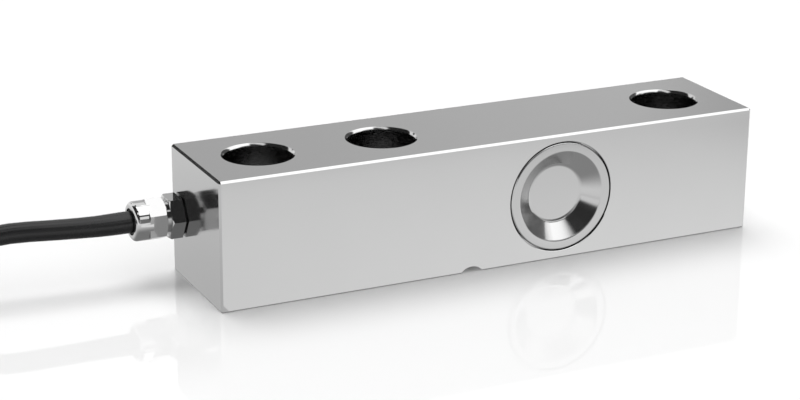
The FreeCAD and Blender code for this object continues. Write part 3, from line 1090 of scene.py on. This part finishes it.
@dataclass
class HankTies:
    """The two nylon ties round the legs of the hank."""

    thickness: float = 1.0
    corner: float = 2.2
    head_length: float = 7.0
    head_room: float = 3.5
    head_drop: float = 0.4
    head_round: float = 0.6
    slot_size: Point = (3.4, 2.4, 1.0)
    stub_size: Point = (2.9, 1.0, 1.3)
    slot_shift: float = 0.9

    def __post_init__(self) -> None:
        """Reads the front tie's box from the frame."""
        self.low, self.high = (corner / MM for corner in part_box("hank_tie_front"))

    def build(self) -> list[Object]:
        """Models the front tie, copies it for the rear and dresses both.

        Returns:
            The ties.
        """
        front = self.strap()
        front.combine(self.head(), Joining.WELD)
        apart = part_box("hank_tie_rear")[0] - place(self.low)
        rear = front.copied("nylon_tie_rear", Matrix.Translation(apart))
        front.dress("tie_nylon", ["hank_tie_front"])
        rear.dress("tie_nylon", ["hank_tie_rear"])
        return [front.obj, rear.obj]

    def strap(self) -> Workpiece:
        """Folds the strap: a block with open ends and round corners, made a thin wall.

        Returns:
            The strap.
        """
        top = self.high - Z_AXIS * self.head_room
        middle = (self.low + top) / 2
        half = (top - self.low) / 2
        strap = Workpiece.block("nylon_tie_front", middle, half * 2)
        strap.pick(Pick.FACE, lambda point, facing: abs(facing.x) > 0.9)
        bpy.ops.mesh.delete(type="ONLY_FACE")
        strap.leave()

        def at_corner(point: Vector, facing: Vector) -> bool:
            """Tells whether an edge lies on one of the strap's four corners."""
            away = point / MM - middle
            return abs(abs(away.y) - half.y) < TOUCH and abs(abs(away.z) - half.z) < TOUCH

        strap.bevel(at_corner, self.corner, segments=6)
        strap.modify("SOLIDIFY", thickness=self.thickness * MM, offset=-1.0)
        return strap

    def head(self) -> Workpiece:
        """Models the head, with its slot and the trimmed end of the strap in it.

        Returns:
            The head.
        """
        middle = (self.low + self.high) / 2
        middle.z = self.high.z - (self.head_room + self.head_drop) / 2
        size = (self.high.x - self.low.x, self.head_length, self.head_room - self.head_drop)
        head = Workpiece.block("tie_head", middle, size)
        head.bevel(lambda point, facing: True, self.head_round, segments=3)
        slot = Vector((middle.x, middle.y + self.slot_shift, self.high.z - self.head_drop))
        head.combine(Workpiece.block("slot_tool", slot, self.slot_size), Joining.CUT)
        stub = slot + Z_AXIS * (self.stub_size[2] - self.slot_size[2]) / 2
        head.combine(Workpiece.block("strap_end", stub, self.stub_size), Joining.WELD)
        return head


def painted_floor_reflection(tree: Tree, steep_tone: float = 0.36, steep: float = 0.2, low: float = 0.72) -> Node:
    """The floor as the metal mirrors it, painted: white at a low angle, where its gloss is strong, and a
    painted shade from above.

    Args:
        tree: the floor's node tree, or that of a card that lies on it.
        steep_tone: its painted shade from straight above.
        steep: the slant up to which it keeps that shade.
        low: the slant from which it is white.

    Returns:
        The node that gives its shade.
    """
    slant = add_node(tree, "LayerWeight", {"Blend": 0.5}).outputs["Facing"]
    tones = {"Value": slant, "From Min": steep, "From Max": low, "To Min": steep_tone, "To Max": 1.0}
    return add_node(tree, "MapRange", tones, interpolation_type="SMOOTHSTEP")


@dataclass(frozen=True)
class Card:
    """A studio card that shows only in the metal's reflections.

    Attributes:
        name: the card's name.
        centre: its middle, in millimetres.
        facing: the way that it faces.
        size: its width and height, in millimetres.
        tones: its shade, at even steps from its left edge to its right, where 1 is white.
        foot: the same at its lower edge, where that is not alike.
        glow: its brightness where its shade is white.
        roll: how far it is turned in its own plane, in degrees.
        feather: the share of its width and height over which each edge fades out.
    """

    name: str
    centre: Point
    facing: Vector
    size: tuple[float, float]
    tones: tuple[float, ...]
    foot: tuple[float, ...] = ()
    glow: float = 1.0
    roll: float = 0.0
    feather: float = 0.02

    def build(self) -> None:
        """Hangs the card up."""
        bpy.ops.object.select_all(action="DESELECT")
        turned = turn_to(self.facing, math.radians(self.roll))
        bpy.ops.mesh.primitive_plane_add(size=1, location=place(self.centre), rotation=turned)
        card = bpy.context.active_object
        card.name = self.name
        card.scale = (*place((*self.size, 0)).xy, 1)
        card.visible_camera = card.visible_diffuse = card.visible_shadow = card.visible_transmission = False
        material, tree = new_material(self.name)
        spot = add_node(tree, "TexCoord").outputs["Generated"]
        axes = add_node(tree, "SeparateXYZ", {"Vector": spot})
        strength = painted_floor_reflection(tree) if self.facing == Z_AXIS else self.glow
        glow = add_node(tree, "Emission", {"Color": self.shade(tree, axes), "Strength": strength})
        # The floor's mirror is the only perfect one, and shows the white surround in place of the card
        perfect = add_node(tree, "LightPath").outputs["Is Singular Ray"]
        inside = {0: self.inside(tree, axes), 1: perfect}
        shown = add_node(tree, "Math", inside, operation="SUBTRACT", use_clamp=True)
        clear = add_node(tree, "BsdfTransparent")
        mixed = add_node(tree, "MixShader", {0: shown, 1: clear, 2: glow})
        add_node(tree, "OutputMaterial", {"Surface": mixed})
        card.data.materials.append(material)

    def shade(self, tree: Tree, axes: Node) -> Socket:
        """Paints the card's tones, at its foot and at its top, and shades evenly between them.

        Args:
            tree: the card's node tree.
            axes: the node that gives the place on the card, from 0 to 1 each way.

        Returns:
            The shade.
        """
        rows = []
        for tones in (self.foot or self.tones, self.tones):
            row = add_node(tree, "ValToRGB", {"Fac": axes.outputs["X"]})
            stops = row.color_ramp.elements
            stops[0].color = (*[tones[0]] * 3, 1)
            stops[1].color = (*[tones[-1]] * 3, 1)
            for k, tone in enumerate(tones[1:-1], 1):
                stops.new(k / (len(tones) - 1)).color = (tone, tone, tone, 1)
            rows.append(row)
        blend = {"Factor": axes.outputs["Y"], 6: rows[0], 7: rows[1]}
        return add_node(tree, "Mix", blend, data_type="RGBA").outputs[2]

    def inside(self, tree: Tree, axes: Node) -> Node:
        """Fades the card out at its edges.

        Args:
            tree: the card's node tree.
            axes: the node that gives the place on the card, from 0 to 1 each way.

        Returns:
            The node that gives 1 inside the card and 0 at its edges.
        """
        fades = []
        for axis in "XY":
            middle = add_node(tree, "Math", {0: axes.outputs[axis], 1: 0.5}, operation="SUBTRACT")
            away = add_node(tree, "Math", {0: middle}, operation="ABSOLUTE")
            start = 0.5 - self.feather
            fade = {"Value": away, "From Min": start, "From Max": 0.5, "To Min": 1.0, "To Max": 0.0}
            fades.append(add_node(tree, "MapRange", fade, interpolation_type="SMOOTHSTEP"))
        return add_node(tree, "Math", {0: fades[0], 1: fades[1]}, operation="MULTIPLY")


@dataclass(frozen=True)
class Lamp:
    """A broad soft lamp, far off, which the metal does not mirror.

    Attributes:
        name: the lamp's name.
        strength: its strength.
        lean: how far behind the object it stands, in degrees from overhead.
        spread: how broad it looks from the object, in degrees.
    """

    name: str
    strength: float
    lean: float
    spread: float

    def build(self) -> None:
        """Hangs the lamp up."""
        data = bpy.data.lights.new(self.name, "SUN")
        data.energy = self.strength
        data.angle = math.radians(self.spread)
        lamp = bpy.data.objects.new(self.name, data)
        lamp.rotation_euler = (-math.radians(self.lean), 0, 0)
        lamp.visible_glossy = False
        bpy.context.scene.collection.objects.link(lamp)


@dataclass
class Studio:
    """The floor, the light and the camera, set round the bar's box.

    Attributes:
        low: the lower corner of the bar's box.
        high: its upper corner.
        offset: how far the camera stands right of and above the line to its target.
        focal_px: its focal length, in the photograph's pixels.
        clip: how near and how far it sees, in metres.
        sky: how strongly the white surround lights the object.
        floor_fade: how far from the part's origin the floor starts to fade, and where it is white.
        foot_tone: the shade of the mirrored floor at the bar's foot.
        foot_reach: how far that shade reaches.
    """

    low: Vector
    high: Vector
    azimuth: float = -25.657
    elevation: float = 19.126
    roll: float = 0.475
    distance: float = 648.383
    offset: tuple[float, float] = (-20.112, 14.111)
    focal_px: float = 2170.774
    image_px: float = 800.0
    sensor: float = 36.0
    clip: tuple[float, float] = (0.01, 20.0)
    sky: float = 0.31
    lamps: tuple[Lamp, ...] = (
        Lamp("back_light", 1.8, 18.0, 42.0),
        Lamp("front_light", 0.95, -35.0, 60.0),
    )
    floor_colour: str = "#f7f7f7"
    floor_ior: float = 1.4
    floor_size: float = 6000.0
    floor_fade: tuple[float, float] = (450.0, 1200.0)
    foot_tone: float = 0.67
    foot_reach: float = 260.0
    cards: tuple[Card, ...] = (
        Card("overhead_softbox", (385, -192, 600), -Z_AXIS, (690, 765), (1, 1), glow=1.8, feather=0.12),
        Card("overhead_strip_cable", (-15, 35, 598), -Z_AXIS, (190, 290), (1, 1), glow=1.8),
        Card(
            "overhead_scrim",
            (85, -5, 596),
            -Z_AXIS,
            (330, 110),
            (1.0, 1.1, 1.3, 1.5, 1.5, 1.35, 1.2, 1.1, 1.05, 1.0, 1.0),
            feather=0.15,
        ),
        Card("black_flag_overhead", (-310, 50, 610), -Z_AXIS, (740, 600), (0.03, 0.03)),
        Card("side_softbox", (700, 134, 502), -X_AXIS, (1100, 650), (1, 1), glow=1.6, roll=40.0),
        Card(
            "grey_card_back",
            (590, 1000, 450),
            -Y_AXIS,
            (1700, 1000),
            (0.54, 0.54, 0.54, 0.54, 0.54, 0.56, 0.6, 0.62, 0.46, 0.4, 0.4, 0.4, 0.4),
            feather=0.2,
        ),
        Card("black_flag_back_left", (-390, 990, 402), -Y_AXIS, (230, 190), (0.01, 0.01), feather=0.1),
        Card("black_flag_front", (200, -1000, 1105), Y_AXIS, (2400, 650), (0.04, 0.04), feather=0.08),
        Card("dark_card_front", (-110, -1015, 640), Y_AXIS, (620, 460), (0.1, 0.1), feather=0.15),
        Card(
            "grey_card_front",
            (430, -1020, 235),
            Y_AXIS,
            (2400, 470),
            (0.55, 0.55, 0.55, 0.5, 0.25, 0.12, 0.25, 0.5, 0.55, 0.55, 0.55),
            feather=0.04,
        ),
        Card("black_flag_front_left", (-600, -1010, 560), Y_AXIS, (800, 920), (0.04, 0.04), feather=0.15),
        Card("black_flag_left", (-700, -50, 725), X_AXIS, (1700, 770), (0.02, 0.02)),
        Card("dark_card_side", (690, 300, 200), -X_AXIS, (800, 400), (0.1, 0.1), feather=0.1),
        Card("dark_card_right", (745, -270, 225), -X_AXIS, (580, 450), (0.18, 0.18)),
        # Painted reflection of the floor in front of the bar: a little brighter than white away from it, and
        # a painted shade along the bar's foot that is darkest at its left end.
        Card(
            "pale_card_front",
            (94.5, -70, 0.2),
            Z_AXIS,
            (261, 101),
            (1.02, 1.05, 1.06, 1.05, 1.03),
            (0.92, 0.92, 0.9, 0.84, 0.64),
            roll=180.0,
            feather=0.002,
        ),
    )

    def build(self) -> None:
        """Sets the studio up."""
        self.camera()
        self.world()
        self.floor()
        for item in (*self.lamps, *self.cards):
            item.build()

    def camera(self) -> None:
        """Stands the camera at the photograph's viewing angle."""
        a, e, r = (math.radians(angle) for angle in (self.azimuth, self.elevation, self.roll))
        back = Vector((math.sin(a) * math.cos(e), -math.cos(a) * math.cos(e), math.sin(e)))
        level = Vector((math.cos(a), math.sin(a), 0))
        upright = back.cross(level)
        right = level * math.cos(r) + upright * math.sin(r)
        up = upright * math.cos(r) - level * math.sin(r)
        middle = (self.low + self.high) / 2
        target = Vector((middle.x, middle.y, self.low.z))
        spot = target + right * self.offset[0] + up * self.offset[1] + back * self.distance
        data = bpy.data.cameras.new("camera")
        data.sensor_width = self.sensor
        data.lens = self.focal_px / self.image_px * self.sensor
        data.clip_start, data.clip_end = self.clip
        camera = bpy.data.objects.new("camera", data)
        turned = Matrix((right, up, back)).transposed().to_4x4()
        camera.matrix_world = Matrix.Translation(place(spot)) @ turned
        bpy.context.scene.collection.objects.link(camera)
        bpy.context.scene.camera = camera

    def world(self) -> None:
        """A white surround, seen and mirrored as white, which lights softly from all sides."""
        world = bpy.data.worlds.new("white_surround")
        world.use_nodes = True
        tree = world.node_tree
        tree.nodes.clear()
        path = add_node(tree, "LightPath")
        shown: Node | Socket = path.outputs["Is Camera Ray"]
        for ray in ("Is Glossy Ray", "Is Transmission Ray"):
            shown = add_node(tree, "Math", {0: shown, 1: path.outputs[ray]}, operation="MAXIMUM")
        strength = add_node(tree, "MapRange", {"Value": shown, "To Min": self.sky, "To Max": 1.0})
        light = add_node(tree, "Background", {"Color": (1, 1, 1, 1), "Strength": strength})
        add_node(tree, "OutputWorld", {"Surface": light})
        bpy.context.scene.world = world

    def floor(self) -> None:
        """A pale glossy floor that keeps the object's shadow and fades to white away from it.

        The metal mirrors the floor as white at a low angle, and as shaded from above and near
        the bar's foot.
        """
        bpy.ops.object.select_all(action="DESELECT")
        bpy.ops.mesh.primitive_plane_add(size=self.floor_size * MM)
        floor = bpy.context.active_object
        floor.name = "floor"
        material, tree = new_material("pale floor")
        path = add_node(tree, "LightPath")
        spot = add_node(tree, "TexCoord").outputs["Object"]
        reach = add_node(tree, "VectorMath", {0: spot}, operation="LENGTH").outputs["Value"]
        near, far = (distance * MM for distance in self.floor_fade)
        fades = {"Value": reach, "From Min": near, "From Max": far}
        fade = add_node(tree, "MapRange", fades, interpolation_type="SMOOTHSTEP")
        plain = add_node(tree, "Math", {0: fade, 1: path.outputs["Is Glossy Ray"]}, operation="MAXIMUM")
        shades = {0: painted_floor_reflection(tree), 1: self.foot_shade(tree, spot)}
        mirrored = add_node(tree, "Math", shades, operation="MULTIPLY")
        tone = add_node(tree, "Math", {0: mirrored, 1: path.outputs["Is Camera Ray"]}, operation="MAXIMUM")
        gloss = {"Base Color": linear(self.floor_colour), "Roughness": 0.0, "IOR": self.floor_ior}
        lit = add_node(tree, "BsdfPrincipled", gloss)
        white = add_node(tree, "Emission", {"Color": (1, 1, 1, 1), "Strength": tone})
        mixed = add_node(tree, "MixShader", {0: plain, 1: lit, 2: white})
        add_node(tree, "OutputMaterial", {"Surface": mixed})
        floor.data.materials.append(material)

    def foot_shade(self, tree: Tree, spot: Socket) -> Node:
        """Shades the mirrored floor near the bar's foot, where the bar keeps the light off it.

        Args:
            tree: the floor's node tree.
            spot: the place on the floor.

        Returns:
            The node that gives the share of the floor's white that is left there.
        """
        steps = (
            ("SUBTRACT", {1: place(((self.low + self.high) / 2).xy.to_3d())}),
            ("ABSOLUTE", {}),
            ("SUBTRACT", {1: place(((self.high - self.low) / 2).xy.to_3d())}),
            ("MAXIMUM", {1: Vector()}),
        )
        past: Node | Socket = spot
        for operation, other in steps:
            past = add_node(tree, "VectorMath", {0: past} | other, operation=operation)
        away = add_node(tree, "VectorMath", {0: past}, operation="LENGTH").outputs["Value"]
        reach = self.foot_reach * MM
        shades = {"Value": away, "From Max": reach, "To Min": self.foot_tone, "To Max": 1.0}
        return add_node(tree, "MapRange", shades)


def dress_inner_nodes() -> None:
    """Gives each CAD node that still shows its finish."""
    for name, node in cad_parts.items():
        if node.hide_render:
            continue
        slot = node.data.materials[0].name.split(".")[0]
        node.data.materials[0] = FINISHES[slot].material()
        LOG.info("%s keeps its CAD shape in %s", name, slot)


def main() -> None:
    """Builds the load cell's looks and the studio around it."""
    logging.basicConfig(level=logging.INFO, format="%(message)s")
    bpy.context.scene.view_settings.view_transform = "Standard"
    bar = PlatedBar()
    bar.build()
    PocketCovers().build()
    CableGland().build()
    route = Cable()
    cable = route.build()
    on_cable = [*HankTies().build(), *CableEnd(*route.tail).build()]
    dress_inner_nodes()
    Studio(bar.low, bar.high).build()


if __name__ == "__main__":
    main()
